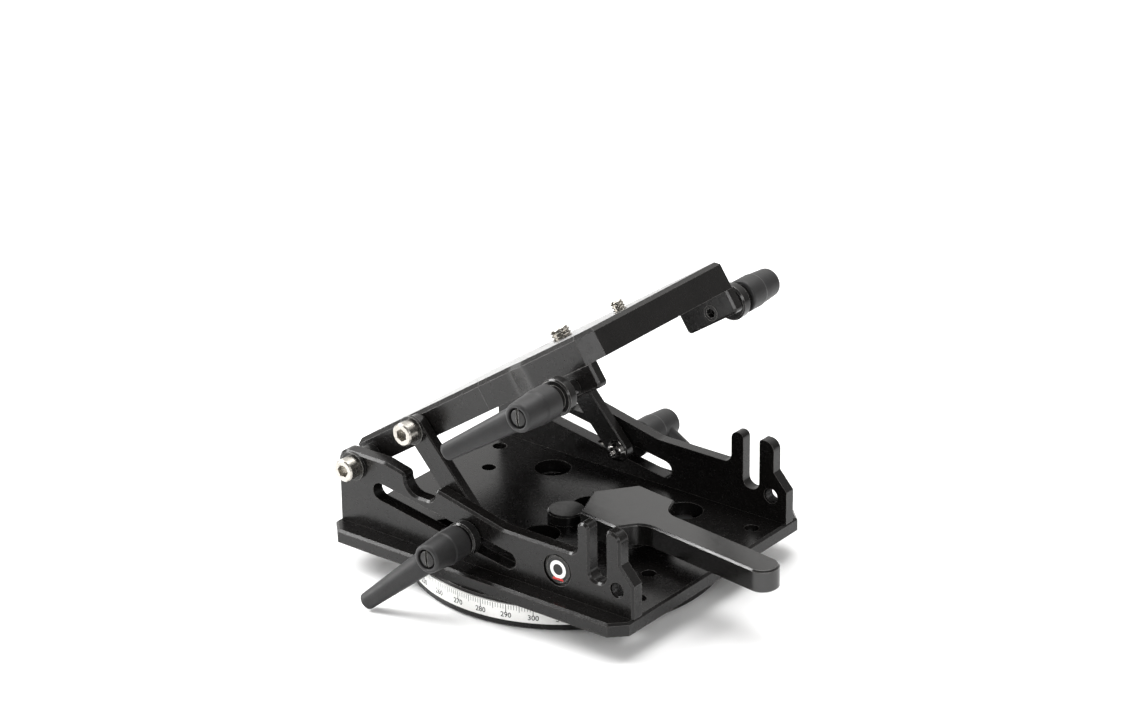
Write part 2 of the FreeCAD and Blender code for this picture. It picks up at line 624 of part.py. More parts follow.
# ---------------------------------------------------------------- links
def link(side):
    """The bar from the plate to the slot: local X runs down the bar, local Z outwards."""
    name = "link_" + side
    body = new_body(name)
    length, half = size("link_length"), size("link_width") / 2
    outline = new_sketch(body, name + "_outline")
    draw_capsule(outline, (0.0, 0.0), (length, 0.0), half)
    pad(body, outline, "{link_thick}", name + "_bar")
    eyes = new_sketch(body, name + "_eyes")
    draw_circle(eyes, 0, 0, "{shank_radius} + {running_fit}", size("shank_radius") + size("running_fit"))
    draw_circle(eyes, length, 0, "{bolt_radius}", size("bolt_radius"))
    pocket(body, eyes, name + "_drilling", backwards=True)
    bevel(body, name + "_bevel", "0.5 mm", lambda middle, edge: edge.Curve.TypeId == "Part::GeomLine"
          and abs(edge.tangentAt(edge.FirstParameter).x) > 0.9)
    keep(body, name, out_of(side, LINK_PIVOT, size("link_inner"), -size("link_angle")))


def link_pivot(side):
    """The cap screw of the upper pivot, screwed into the plate's side, and its washer."""
    washer = size("link_inner") + size("link_thick") + 0.15
    seat = washer + size("washer_thick")
    reach = seat - (size("plate_narrow") - BORE_DEPTH + 2)
    keep(socket_screw("link_screw_" + side, reach), "link_screw_" + side,
         tilted_at(LINK_PIVOT_LOCAL, SIDE[side] * seat, OUTWARD[side]))
    ring_of("link_washer_" + side, "{washer_radius}", "{shank_radius}", "{washer_thick}",
            tilted_at(LINK_PIVOT_LOCAL, SIDE[side] * washer, OUTWARD[side]))


def slot_bolt(side):
    """The button-head bolt through the link's lower eye and the cheek's slot, into the lever."""
    name = "slot_bolt_" + side
    body = new_body(name)
    shank, head, high = size("bolt_radius"), size("button_radius"), size("button_height")
    seat = size("link_inner")
    tip = LEVER_BASE + size("pad_height") + size("slot_standoff") + THREAD_IN_HUB
    turned(body, name + "_turning", [
        (0.0, seat - high, 0.0), (head - 1.4, seat - high, 1.6), (head, seat - 0.5, 0.0), (head, seat, 0.0),
        (shank, seat, 0.0), (shank, tip, 0.0), (0.0, tip, 0.0)])
    hexagon_cut(body, name, seat - high, 3, 1.6, backwards=True)
    keep(body, name, out_of(side, SLOT_BOLT, 0.0))


# ---------------------------------------------------------------- clamping levers
def lever_insert(name, kind, place):
    """The steel insert with its pad ring: it turns on the stud and carries the handle on its splines."""
    body = new_body(name + "_insert")
    outer, rim, high = size("insert_radius"), size(kind + "_pad_radius"), size("pad_height")
    bore = size("bolt_radius") + size("running_fit")
    hub = high + size(kind + "_standoff")
    ceiling, top = hub + THREAD_IN_HUB + 0.4, hub + INSERT_IN_HUB
    mouth = [(bore, 0.0, 0.0)]
    if kind == "lug":
        neck, step = size("lug_stud_radius") + size("running_fit"), size("lug_standoff") + 0.5
        mouth = [(bore, step, 0.0), (neck, step, 0.0), (neck, 0.0, 0.0)]
    turned(body, name + "_insert_turning", mouth + [
        (rim - 0.7, 0.0, 0.0), (rim, 0.7, 0.0), (rim, high - 0.7, 0.0), (rim - 0.7, high, 0.0),
        (outer, high, 0.0), (outer, top, 0.0), (CAP_SHANK, top, 0.0), (CAP_SHANK, ceiling, 0.0),
        (bore, ceiling, 0.0)])
    keep(body, name + "_insert", place)


def lever_handle(name, place):
    """The handle: a tapered hub on local Z with an arm that leans outwards along local X."""
    body = new_body(name + "_handle")
    radius, high, recess = size("hub_radius"), size("hub_height"), size("hub_recess")
    waist = size("hub_waist")
    turned(body, name + "_hub", [
        (0.0, 0.0, 0.0), (radius - 0.5, 0.0, 0.0), (radius, 0.5, 0.0), (radius, waist, 0.0),
        (radius - 0.3, waist + 0.3, 0.0), (radius - 0.5, waist + 4.0, 6.0), (recess + 1.9, high, 1.4),
        (0.0, high, 0.0)])
    reach, rise = size("arm_reach"), size("arm_rise")
    root, tip = size("arm_root"), size("arm_tip")
    sections = []
    for along in (0.0, 0.3, 1.0):
        section = new_sketch(body, "%s_arm_%d" % (name, along * 10), "YZ_Plane",
                             lift=0.5 + along * (reach - 0.5))
        half = root + (tip - root) * along
        centre = Vector(0, ARM_START + rise * along, 0)
        section.addGeometry(Part.Ellipse(centre, half, half * 0.84), False)
        sections.append(section)
    doc.recompute()
    arm = body.newObject("PartDesign::AdditiveLoft", name + "_arm")
    arm.Profile = sections[0]
    arm.Sections = sections[1:]
    doc.recompute()
    bevel(body, name + "_arm_end", "1.0 mm", lambda middle, edge: edge.isClosed()
          and abs(edge.CenterOfMass.x - reach) < 0.01, kind="PartDesign::Fillet")
    cavity = new_sketch(body, name + "_cavity_outline")
    draw_circle(cavity, 0, 0, "{insert_radius} + {running_fit}", size("insert_radius") + size("running_fit"))
    pocket(body, cavity, name + "_cavity", "%s mm" % WEB_LOW, backwards=True)
    through = new_sketch(body, name + "_web_outline")
    draw_circle(through, 0, 0, "%s mm" % (CAP_SHANK + size("running_fit")), CAP_SHANK + size("running_fit"))
    pocket(body, through, name + "_web", backwards=True)
    mouth = new_sketch(body, name + "_recess_outline", lift=WEB_HIGH)
    draw_circle(mouth, 0, 0, "{hub_recess}", recess)
    pocket(body, mouth, name + "_recess", "30 mm", backwards=True)
    keep(body, name + "_handle", place)


def lever_screw(name, place):
    """The slotted screw in the hub's recess, screwed into the insert."""
    body = new_body(name + "_screw")
    head, high = size("hub_recess") - 0.7, size("hub_height")
    turned(body, name + "_screw_turning", [
        (0.0, THREAD_IN_HUB + 0.5, 0.0), (CAP_SHANK, THREAD_IN_HUB + 0.5, 0.0), (CAP_SHANK, high - 2.4, 0.0),
        (head, high - 2.4, 0.0), (head, high - 0.6, 0.5), (0.0, high - 0.1, 0.0)])
    screw_slot(body, name + "_screw", high, 0.5, head, 1.3)
    keep(body, name + "_screw", place)


def lever(kind, side, point, spin):
    name = "%s_lever_%s" % (kind, side)
    hub = LEVER_BASE + size("pad_height") + size(kind + "_standoff")
    lever_insert(name, kind, out_of(side, point, LEVER_BASE, spin))
    lever_handle(name, out_of(side, point, hub, spin))
    lever_screw(name, out_of(side, point, hub, SCREW_SLOT_SPIN))
    ring_of(name + "_spring", "{hub_recess} - 0.6", "%s mm" % (CAP_SHANK + 0.5), "%s mm" % SPRING_HEIGHT,
            out_of(side, point, hub + WEB_HIGH, spin))


# ---------------------------------------------------------------- brake lever
def brake_lever():
    """The long hexagon-headed lever that clamps the deck to the rotary base."""
    body = new_body("brake_lever")
    radius, reach, half = size("brake_hex"), size("brake_reach"), size("brake_arm") / 2
    shoulder = radius - half / math.tan(math.radians(60))
    outline = new_sketch(body, "brake_outline")
    draw_outline(outline, mirrored([
        (-radius, 0.0, 0.0), (-radius / 2, -radius * math.sin(math.radians(60)), 0.0),
        (radius / 2, -radius * math.sin(math.radians(60)), 0.0), (shoulder, -half, 9.0),
        (reach, -half, half - 0.3)])[:-1])
    pad(body, outline, "{brake_thick}", "brake_slab")
    bore = new_sketch(body, "brake_bore_outline")
    draw_circle(bore, 0, 0, "{brake_stud}", size("brake_stud"))
    pocket(body, bore, "brake_bore", "5 mm", backwards=True)
    top = size("brake_thick")
    bevel(body, "brake_bevel", "0.8 mm", lambda middle, edge: abs(middle.z - top) < 1e-3)
    bevel(body, "brake_under_bevel", "0.4 mm", lambda middle, edge: abs(middle.z) < 1e-3
          and not edge.isClosed())
    swing = Rotation(Vector(0, 0, 1), -size("brake_angle"))
    foot = Vector(size("brake_forward"), 0, DECK_TOP)
    keep(body, "brake_lever", Placement(foot + Vector(0, 0, size("brake_under")), swing))
    pad_gap, pad_radius = 0.1, 5.5
    shoe = cylinder("brake_shoe", "%s mm" % pad_radius, "{ring_height} - 0.3")
    keep(shoe, "brake_shoe", Placement(Vector(foot.x, 0, size("disc_height") + pad_gap), Rotation()))
    shoe_top = size("disc_height") + pad_gap + size("ring_height") - 0.3
    stud = doc.addObject("Part::Cylinder", "brake_stud_round")
    bind(stud, "Radius", "{brake_stud}")
    bind(stud, "Height", "{deck_thick} + {brake_under} + 5 + 0.2")
    keep(stud, "brake_stud", Placement(Vector(foot.x, 0, shoe_top), Rotation()))
    collar = cylinder("brake_collar_rim", "{brake_collar}", "{brake_under} - 0.2")
    hole = cylinder("brake_collar_bore", "{brake_stud}", "{brake_under}")
    keep(cut("brake_collar_cut", collar, hole), "brake_collar",
         Placement(foot + Vector(0, 0, 0.2), Rotation()))


# ---------------------------------------------------------------- assembly
rotary_disc()
ring("scale_band", size("disc_radius") - size("band_depth"), size("disc_radius"), size("band_low"),
     size("disc_height"))
ring("glide_ring", size("glide_radius") - size("glide_width") + 0.05, size("glide_radius") - 0.05,
     size("disc_height") - 1.2, DECK_UNDER - 0.1)
ring("turntable_ring", size("ring_radius") - 9.0, size("ring_radius"), size("disc_height") + 0.15, DECK_UNDER)
centre_pieces()
base_plate()
cheek_screws()
badge()
plate_rear()
plate_front()
plate_screws()
camera_screw("camera_screw_large", CAMERA_LARGE_AT, "camera_large")
camera_screw("camera_screw_small", CAMERA_SMALL_AT, "camera_small")
for side in ("near", "far"):
    cheek(side)
    hinge_pieces(side)
    lug(side)
    lug_stud(side)
    link(side)
    link_pivot(side)
    slot_bolt(side)
    lever("slot", side, SLOT_BOLT, SLOT_LEVER_SPIN[side])
    lever("lug", side, LUG_STUD, TILT + 180)
brake_lever()
doc.recompute()

# ---------------------------------------------------------------- checks and files
for item in doc.Objects:
    if "Invalid" in item.State or "Error" in item.State:
        raise RuntimeError("%s did not build: %s" % (item.Label, item.State))
for item in PARTS:
    if item.Shape.isNull() or not item.Shape.isValid():
        raise RuntimeError("%s has a bad shape" % item.Label)
os.makedirs("parts", exist_ok=True)
for item in PARTS:
    item.Shape.exportStep(os.path.join("parts", item.Label + ".step"))
print("%d sub-parts written" % len(PARTS))
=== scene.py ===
"""Looks of the rotary and tilting table: finishes, threads, the scale's print, lights and camera."""
import json
import math

import bpy
from mathutils import Matrix, Vector


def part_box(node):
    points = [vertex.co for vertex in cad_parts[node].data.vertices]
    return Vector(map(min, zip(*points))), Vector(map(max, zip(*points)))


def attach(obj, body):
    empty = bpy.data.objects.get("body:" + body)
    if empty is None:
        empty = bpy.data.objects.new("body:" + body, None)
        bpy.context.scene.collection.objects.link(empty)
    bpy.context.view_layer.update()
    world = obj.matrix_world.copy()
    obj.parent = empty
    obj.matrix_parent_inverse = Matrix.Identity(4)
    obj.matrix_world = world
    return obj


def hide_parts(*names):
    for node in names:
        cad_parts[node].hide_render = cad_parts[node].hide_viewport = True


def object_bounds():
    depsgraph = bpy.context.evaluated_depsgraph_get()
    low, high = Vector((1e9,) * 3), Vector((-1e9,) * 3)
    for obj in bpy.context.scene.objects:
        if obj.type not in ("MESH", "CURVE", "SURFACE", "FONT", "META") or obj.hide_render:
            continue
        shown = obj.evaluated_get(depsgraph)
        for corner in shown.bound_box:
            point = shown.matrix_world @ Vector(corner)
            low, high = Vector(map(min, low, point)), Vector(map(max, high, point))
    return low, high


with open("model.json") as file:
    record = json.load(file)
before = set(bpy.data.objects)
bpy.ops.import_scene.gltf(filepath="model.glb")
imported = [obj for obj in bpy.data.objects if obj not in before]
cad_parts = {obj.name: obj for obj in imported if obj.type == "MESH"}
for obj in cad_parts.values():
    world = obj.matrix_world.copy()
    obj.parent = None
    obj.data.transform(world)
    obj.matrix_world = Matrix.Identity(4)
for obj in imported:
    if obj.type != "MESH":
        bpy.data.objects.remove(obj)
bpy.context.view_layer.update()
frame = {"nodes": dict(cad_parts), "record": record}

MM = 0.001
CLOUD_MM, BLOTCH_MM = 14, 2.5


# ---------------------------------------------------------------- material helpers
class Nodes:
    """A short way to add linked shader nodes to one material."""

    def __init__(self, name):
        self.material = bpy.data.materials.new(name)
        self.material.use_nodes = True
        self.tree = self.material.node_tree
        self.shader = self.tree.nodes["Principled BSDF"]
        self.where = self.add("ShaderNodeTexCoord").outputs["Object"]

    def add(self, kind, **settings):
        """A new node with its settings."""
        node = self.tree.nodes.new(kind)
        for key, value in settings.items():
            setattr(node, key, value)
        return node

    def link(self, output, socket):
        self.tree.links.new(output, socket)

    def noise(self, size_mm, detail=3.0, rough=0.55, stretch=(1, 1, 1)):
        """Noise whose features are about the given size."""
        mapping = self.add("ShaderNodeMapping")
        mapping.inputs["Scale"].default_value = stretch
        self.link(self.where, mapping.inputs["Vector"])
        node = self.add("ShaderNodeTexNoise")
        node.inputs["Scale"].default_value = 1 / (size_mm * MM)
        node.inputs["Detail"].default_value = detail
        node.inputs["Roughness"].default_value = rough
        self.link(mapping.outputs["Vector"], node.inputs["Vector"])
        return node.outputs["Fac"]

    def spread(self, value, low, high, from_low=0.3, from_high=0.7):
        """Map a value to a range."""
        node = self.add("ShaderNodeMapRange")
        for socket, number in zip(("From Min", "From Max", "To Min", "To Max"),
                                  (from_low, from_high, low, high)):
            node.inputs[socket].default_value = number
        self.link(value, node.inputs["Value"])
        return node.outputs["Result"]

    def math(self, operation, first, second):
        """One sum of two values, each a number or a socket."""
        node = self.add("ShaderNodeMath", operation=operation)
        for value, socket in zip((first, second), node.inputs):
            if isinstance(value, (int, float)):
                socket.default_value = value
            else:
                self.link(value, socket)
        return node.outputs["Value"]

    def mix(self, factor, first, second):
        """Mix two colours, each a colour or a socket."""
        node = self.add("ShaderNodeMix", data_type="RGBA")
        self.link(factor, node.inputs[0])
        for value, socket in zip((first, second), (node.inputs[6], node.inputs[7])):
            if isinstance(value, tuple):
                socket.default_value = (*value, 1.0)
            else:
                self.link(value, socket)
        return node.outputs[2]

    def edges(self, radius_mm, breakup):
        """A mask along the sharp edges, broken up by a noise."""
        rounded = self.add("ShaderNodeBevel", samples=6)
        rounded.inputs["Radius"].default_value = radius_mm * MM
        flat = self.add("ShaderNodeNewGeometry").outputs["Normal"]
        dot = self.add("ShaderNodeVectorMath", operation="DOT_PRODUCT")
        self.link(rounded.outputs["Normal"], dot.inputs[0])
        self.link(flat, dot.inputs[1])
        bend = self.math("SUBTRACT", 1.0, dot.outputs["Value"])
        mask = self.spread(bend, 0.0, 1.0, 0.02, 0.16)
        return self.math("MULTIPLY", mask, breakup)

    def bump(self, height, depth_mm, edge_mm):
        """A bump over edges that are softly rounded."""
        rounded = self.add("ShaderNodeBevel", samples=4)
        rounded.inputs["Radius"].default_value = edge_mm * MM
        node = self.add("ShaderNodeBump")
        node.inputs["Strength"].default_value = 1.0
        node.inputs["Distance"].default_value = depth_mm * MM
        self.link(height, node.inputs["Height"])
        self.link(rounded.outputs["Normal"], node.inputs["Normal"])
        self.link(node.outputs["Normal"], self.shader.inputs["Normal"])


def shade(name, dark, light, worn_and_highlit_edge, roughness, metallic=0.0, grain_mm=0.3, depth_mm=0.003, edge_wear_and_highlight=0.5,
          stretch=(1, 1, 1), edge_mm=0.25, specular=0.5):
    """A finish with cloudy colour, a fine grain, uneven gloss and edges painted another colour: partly wear,
    partly a painted highlight along the chamfers.
    """
    made = Nodes(name)
    cloud = made.noise(CLOUD_MM, 2)
    grain = made.noise(grain_mm, 4, 0.65, stretch)
    blotch = made.noise(BLOTCH_MM, 3)
    mixture = made.math("ADD", made.math("MULTIPLY", cloud, 0.5), made.math("MULTIPLY", grain, 0.5))
    body = made.mix(made.spread(mixture, 0.0, 1.0, 0.38, 0.62), dark, light)
    # Edge colour along the bevel mask: partly edge wear and partly a painted highlight standing in for the
    # bright chamfer lines.
    mask = made.edges(edge_mm, made.spread(blotch, 0.6 * edge_wear_and_highlight, edge_wear_and_highlight))
    made.link(made.mix(mask, body, worn_and_highlit_edge), made.shader.inputs["Base Color"])
    made.link(made.spread(blotch, roughness - 0.03, roughness + 0.04), made.shader.inputs["Roughness"])
    made.shader.inputs["Metallic"].default_value = metallic
    made.shader.inputs["Specular IOR Level"].default_value = specular
    made.bump(grain, depth_mm, edge_mm)
    return made.material


# ---------------------------------------------------------------- finishes
# The edge colours below are partly wear; on the black finishes and steels their light edges are also a painted
# highlight for the bright chamfer lines and rings.
black_anodised = shade(
    "black_anodised", dark=(0.0042, 0.0038, 0.0036), light=(0.0072, 0.0066, 0.0062), worn_and_highlit_edge=(0.20, 0.19, 0.18),
    roughness=0.25, metallic=0.15, grain_mm=0.35, depth_mm=0.0028, edge_wear_and_highlight=0.8, edge_mm=0.32, specular=0.36)
brake_black = shade(
    "brake_black", dark=(0.0075, 0.0070, 0.0066), light=(0.0100, 0.0094, 0.0089), worn_and_highlit_edge=(0.50, 0.48, 0.46),
    roughness=0.21, metallic=0.30, grain_mm=0.30, depth_mm=0.0015, edge_wear_and_highlight=0.75, edge_mm=0.36, specular=1.0)
screw_steel = shade(
    "screw_steel", dark=(0.36, 0.34, 0.31), light=(0.50, 0.48, 0.44), worn_and_highlit_edge=(0.66, 0.64, 0.60),
    roughness=0.27, metallic=1.0, grain_mm=0.25, depth_mm=0.003, edge_wear_and_highlight=0.6)
black_steel = shade(
    "black_steel", dark=(0.010, 0.0098, 0.0095), light=(0.017, 0.0165, 0.016), worn_and_highlit_edge=(0.40, 0.39, 0.37),
    roughness=0.17, metallic=0.25, grain_mm=0.25, depth_mm=0.0015, edge_wear_and_highlight=0.95, edge_mm=0.32, specular=0.35)
bolt_black = shade(
    "bolt_black", dark=(0.15, 0.145, 0.14), light=(0.22, 0.215, 0.21), worn_and_highlit_edge=(0.70, 0.68, 0.65),
    roughness=0.13, metallic=1.0, grain_mm=0.25, depth_mm=0.0015, edge_wear_and_highlight=0.95, edge_mm=0.3)
polished_steel = shade(
    "polished_steel", dark=(0.42, 0.41, 0.39), light=(0.55, 0.54, 0.52), worn_and_highlit_edge=(0.7, 0.7, 0.68),
    roughness=0.20, metallic=1.0, grain_mm=0.3, depth_mm=0.002, stretch=(1, 1, 0.15))
lever_plastic = shade(
    "lever_plastic", dark=(0.014, 0.0136, 0.0138), light=(0.023, 0.0226, 0.023), worn_and_highlit_edge=(0.080, 0.080, 0.080),
    roughness=0.46, grain_mm=0.45, depth_mm=0.030, edge_wear_and_highlight=0.6, edge_mm=0.4, specular=0.30)
slide_plastic = shade(
    "slide_plastic", dark=(0.018, 0.018, 0.018), light=(0.030, 0.030, 0.030), worn_and_highlit_edge=(0.08, 0.08, 0.08),
    roughness=0.42, grain_mm=0.5, depth_mm=0.01, edge_wear_and_highlight=0.3)
scale_white = shade(
    "scale_white", dark=(0.76, 0.76, 0.74), light=(0.84, 0.84, 0.82), worn_and_highlit_edge=(0.62, 0.61, 0.58),
    roughness=0.34, grain_mm=0.5, depth_mm=0.006, edge_wear_and_highlight=0.25)
print_black = shade(
    "print_black", dark=(0.012, 0.012, 0.012), light=(0.022, 0.022, 0.022), worn_and_highlit_edge=(0.05, 0.05, 0.05),
    roughness=0.40, edge_wear_and_highlight=0.2)
print_red = shade(
    "print_red", dark=(0.50, 0.015, 0.012), light=(0.62, 0.025, 0.02), worn_and_highlit_edge=(0.7, 0.1, 0.08),
    roughness=0.35, edge_wear_and_highlight=0.2)

FINISHES = {
    "black_anodised": black_anodised, "scale_white": scale_white, "polished_steel": polished_steel,
    "screw_steel": screw_steel, "lever_plastic": lever_plastic, "slide_plastic": slide_plastic,
    "spring_steel": screw_steel, "black_steel": black_steel,
}


def paint(piece, material):
    """Give every slot of a mesh the same finish."""
    if not piece.material_slots:
        piece.data.materials.append(material)
    for slot in piece.material_slots:
        slot.material = material


for entry in frame["record"]["subparts"]:
    paint(frame["nodes"][entry["node"]], FINISHES[entry["material_slot"]])
paint(frame["nodes"]["brake_lever"], brake_black)
for name in ("pivot_nut", "hinge_spacer_near", "hinge_spacer_far"):
    paint(frame["nodes"][name], black_steel)
for name in ("slot_bolt_near", "slot_bolt_far"):
    paint(frame["nodes"][name], bolt_black)


# ---------------------------------------------------------------- mesh helpers
def new_piece(name, vertices, faces, material, body, smooth=True):
    """A mesh object that rides on a CAD body and takes one finish."""
    mesh = bpy.data.meshes.new(name)
    mesh.from_pydata(vertices, [], faces)
    mesh.validate()
    mesh.update()
    for face in mesh.polygons:
        face.use_smooth = smooth
    piece = bpy.data.objects.new(name, mesh)
    bpy.context.collection.objects.link(piece)
    mesh.materials.append(material)
    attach(piece, body)
    return piece


def revolve(rows, steps, close_low=True, close_high=True):
    """Vertices and faces of rings given as (height, radius at an angle), with flat ends."""
    vertices, faces = [], []
    for height, radius_at in rows:
        for step in range(steps):
            angle = 2 * math.pi * step / steps
            radius = radius_at(angle)
            vertices.append(Vector((radius * math.cos(angle), radius * math.sin(angle), height)))
    for row in range(len(rows) - 1):
        for step in range(steps):
            following = (step + 1) % steps
            low, high = row * steps, (row + 1) * steps
            faces.append((low + step, low + following, high + following, high + step))
    if close_low:
        faces.append(tuple(reversed(range(steps))))
    if close_high:
        faces.append(tuple(range((len(rows) - 1) * steps, len(rows) * steps)))
    return vertices, faces


def thread_rows(low, high, crest, depth, pitch, upper_crest=None):
    """Rings of a screw thread between two heights; the upper end narrows to the second crest, if given."""
    end = crest if upper_crest is None else upper_crest
    count = int((high - low) / (pitch / 10))
    rows = []
    for index in range(count + 1):
        height = low + (high - low) * index / count

        def radius_at(angle, height=height):
            turn = (height / pitch - angle / (2 * math.pi)) % 1.0
            flank = min(1.0, abs(2 * turn - 1) * 1.25)
            return min(crest - depth * flank, end + (high - height))

        rows.append((height, radius_at))
    return rows


def ring_rows(points):
    """Rings of a turned shape from its (height, radius) points."""
    return [(height, lambda angle, radius=radius: radius) for height, radius in points]


def carve(piece, boxes):
    """Cut boxes, given by centre and size in the piece's own space, out of a mesh."""
    for centre, extent in boxes:
        corners = [Vector([c + (s - 0.5) * e for c, s, e in zip(centre, signs, extent)])
                   for signs in [(x, y, z) for x in (0, 1) for y in (0, 1) for z in (0, 1)]]
        faces = [(0, 1, 3, 2), (4, 6, 7, 5), (0, 4, 5, 1), (2, 3, 7, 6), (0, 2, 6, 4), (1, 5, 7, 3)]
        mesh = bpy.data.meshes.new("cutter")
        mesh.from_pydata(corners, [], faces)
        cutter = bpy.data.objects.new("cutter", mesh)
        bpy.context.collection.objects.link(cutter)
        cutter.matrix_world = piece.matrix_world.copy()
        modifier = piece.modifiers.new("slot", "BOOLEAN")
        modifier.operation = "DIFFERENCE"
        modifier.solver = "EXACT"
        modifier.object = cutter
        bpy.context.view_layer.update()
        shaped = bpy.data.meshes.new_from_object(piece.evaluated_get(bpy.context.evaluated_depsgraph_get()))
        piece.modifiers.clear()
        piece.data = shaped
        bpy.data.objects.remove(cutter)


# ---------------------------------------------------------------- camera screws
def mount_of(name):
    """A mount of the record by its name."""
    return next(mount for mount in frame["record"]["mounts"] if mount["name"] == name)


HEAD_WIDER, HEAD_HIGH, HEAD_CHAMFER = 3.4 * MM, 4.4 * MM, 0.4 * MM
THREAD_DEPTH, THREAD_LEAD_IN = 0.61, 0.9 * MM
TIP_SLOT, HEAD_SLOT = (1.4 * MM, 3.2 * MM), (1.6 * MM, 3.0 * MM)


def camera_screw(node, body, mount, pitch):
    """A threaded screw in place of the plain one: own Z runs up through the plate."""
    axis = Vector(mount["axis"])
    radius = mount["dims"]["r_mm"] * MM
    centre = Vector(mount["pos_m"])
    side = Vector((0, 1, 0))
    turn = Matrix((side.cross(axis), side, axis)).transposed().to_4x4()
    along = [(vertex.co - centre).dot(axis) for vertex in frame["nodes"][node].data.vertices]
    foot, tip = min(along), max(along)
    head, head_top = radius + HEAD_WIDER, foot + HEAD_HIGH
    rows = ring_rows([
        (foot, head - HEAD_CHAMFER), (foot + HEAD_CHAMFER, head), (head_top - HEAD_CHAMFER, head),
        (head_top, head - HEAD_CHAMFER), (head_top + 0.01 * MM, radius - 0.6 * MM)])
    rows += thread_rows(head_top + 0.1 * MM, tip, radius, THREAD_DEPTH * pitch, pitch,
                        radius - THREAD_LEAD_IN)
    vertices, faces = revolve(rows, 96)
    piece = new_piece(node + "_threaded", vertices, faces, screw_steel, body, smooth=False)
    carve(piece, [((0, 0, tip), (TIP_SLOT[0], 4 * radius, TIP_SLOT[1])),
                  ((0, 0, foot), (HEAD_SLOT[0], 4 * head, HEAD_SLOT[1]))])
    piece.data.transform(Matrix.Translation(centre) @ turn)
    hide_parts(node)


INCH = 25.4 * MM
camera_screw("camera_screw_large", "large_camera_screw", mount_of("large_camera_thread"), INCH / 16)
camera_screw("camera_screw_small", "small_camera_screw", mount_of("small_camera_thread"), INCH / 20)


def side_thread(name, mount, pitch=1.0 * MM, depth=0.55 * MM):
    """The thread inside a cheek's front hole."""
    axis = Vector(mount["axis"])
    wall = mount["dims"]["r_mm"] * MM
    half_length = mount["dims"]["length_mm"] * MM / 2 - 0.5 * MM
    inner = thread_rows(-half_length, half_length, wall, depth, pitch)
    vertices, faces = revolve(inner, 64, close_low=False, close_high=False)
    side = Vector((1, 0, 0))
    turn = Matrix((side, axis.cross(side), axis)).transposed().to_4x4()
    piece = new_piece(name, vertices, [tuple(reversed(face)) for face in faces], black_anodised, "table")
    piece.data.transform(Matrix.Translation(Vector(mount["pos_m"])) @ turn)
    piece.data.flip_normals()


side_thread("side_thread_near", mount_of("near_side_thread"))
side_thread("side_thread_far", mount_of("far_side_thread"))


def plate_seam():
    """A fine dark line on each side of the plate, where its two halves meet."""
    axis, across = Vector(mount_of("large_camera_thread")["axis"]), Vector((0, 1, 0))
    along = across.cross(axis)
    points = [vertex.co for vertex in frame["nodes"]["tilt_plate_rear"].data.vertices]
    split = max(point.dot(along) for point in points)
    low, high = min(point.dot(axis) for point in points), max(point.dot(axis) for point in points)
    outer = max(point.y for point in points) + 0.02 * MM
    half, bevel = 0.16 * MM, 1.9 * MM
    vertices, faces = [], []
    for side in (-1, 1):
        start = len(vertices)
        for offset, height in ((-half, low + bevel), (half, low + bevel), (half, high - bevel),
                               (-half, high - bevel)):
            vertices.append(along * (split + offset) + axis * height + across * side * outer)
        order = (0, 1, 2, 3) if side < 0 else (3, 2, 1, 0)
        faces.append(tuple(start + corner for corner in order))
    new_piece("plate_seam", vertices, faces, print_black, "tilting_plate", smooth=False)


plate_seam()


# ---------------------------------------------------------------- scale print
BAND_LOW, BAND_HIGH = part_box("scale_band")
BAND_RADIUS = BAND_HIGH.x
PRINT_RADIUS = BAND_RADIUS + 0.02 * MM
QUARTER_MARK = math.radians(-93.9)
MARK_TOP = BAND_HIGH.z - 0.15 * MM
MARKS = {10: (3.8 * MM, 0.30 * MM), 5: (2.9 * MM, 0.24 * MM), 1: (2.1 * MM, 0.20 * MM)}


def angle_of(degrees):
    """Where a reading of the scale stands round the base."""
    return QUARTER_MARK + math.radians(degrees - 270)


def on_band(angle, height):
    """A point just outside the scale band."""
    return Vector((PRINT_RADIUS * math.cos(angle), PRINT_RADIUS * math.sin(angle), height))


def scale_marks():
    """A mark at every degree, longer at every fifth and tenth."""
    vertices, faces = [], []
    for degrees in range(360):
        step = next(step for step in (10, 5, 1) if degrees % step == 0)
        length, width = MARKS[step]
        half = width / 2 / PRINT_RADIUS
        angle = angle_of(degrees)
        start = len(vertices)
        for offset, height in ((-half, MARK_TOP - length), (half, MARK_TOP - length), (half, MARK_TOP),
                               (-half, MARK_TOP)):
            vertices.append(on_band(angle + offset, height))
        faces.append((start, start + 1, start + 2, start + 3))
    new_piece("scale_marks", vertices, faces, print_black, "rotary_base", smooth=False)


def scale_numbers():
    """Numbers every ten degrees, wrapped round the band."""
    vertices, faces = [], []
    for degrees in range(0, 360, 10):
        words = bpy.data.curves.new("number", "FONT")
        words.body = str(degrees)
        words.size = 3.3 * MM
        words.offset = 0.05 * MM
        words.align_x = "CENTER"
        words.align_y = "BOTTOM"
        words.resolution_u = 3
        holder = bpy.data.objects.new("number", words)
        bpy.context.collection.objects.link(holder)
        bpy.context.view_layer.update()
        flat = bpy.data.meshes.new_from_object(holder.evaluated_get(bpy.context.evaluated_depsgraph_get()))
        start = len(vertices)
        for vertex in flat.vertices:
            angle = angle_of(degrees) + vertex.co.x / PRINT_RADIUS
            vertices.append(on_band(angle, BAND_LOW.z + 0.75 * MM + vertex.co.y))
        faces.extend(tuple(start + corner for corner in face.vertices) for face in flat.polygons)
        bpy.data.objects.remove(holder)
    new_piece("scale_numbers", vertices, faces, print_black, "rotary_base", smooth=False)


scale_marks()
scale_numbers()


